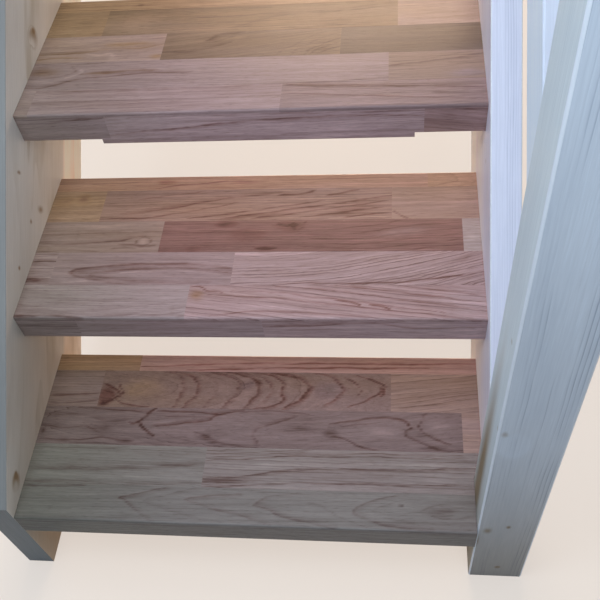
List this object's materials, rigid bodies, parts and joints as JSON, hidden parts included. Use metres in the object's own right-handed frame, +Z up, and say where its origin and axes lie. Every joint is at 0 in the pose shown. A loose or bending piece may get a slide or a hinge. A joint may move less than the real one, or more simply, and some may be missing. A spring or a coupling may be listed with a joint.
{
  "type": "wooden staircase",
  "caption": "Straight open-riser wooden stair flight with laminated treads housed between glazed pine stringers, newel posts and a board railing on one side.",
  "frame": {"origin": "centre of the bottom newel's flat foot, on the finished floor", "axes": "+Z up, +Y the way the flight climbs, +X from the wall stringer towards the open side"},
  "size_m": [0.834, 1.57, 2.3077],
  "materials": {
    "treads": "satin lacquered laminated hardwood, finger-length lamellae",
    "glazed_pine": "white glazed pine with grain and knots showing through",
    "pegs": "plain end-grain dowel, glazed"
  },
  "bodies": {
    "root": {"tread_1": "treads", "tread_2": "treads", "tread_3": "treads", "tread_4": "treads", "tread_5": "treads", "tread_6": "treads", "tread_3_underside_strip": "treads", "landing_nosing": "treads", "left_stringer": "glazed_pine", "right_stringer": "glazed_pine", "bottom_newel": "glazed_pine", "top_newel": "glazed_pine", "mid_rail": "glazed_pine", "handrail": "glazed_pine", "hanger_board": "glazed_pine", "bottom_stringer_pegs": "pegs", "bottom_mid_rail_peg": "pegs", "bottom_handrail_peg": "pegs", "top_stringer_pegs": "pegs", "top_mid_rail_peg": "pegs", "top_handrail_peg": "pegs"}
  },
  "joints": []
}
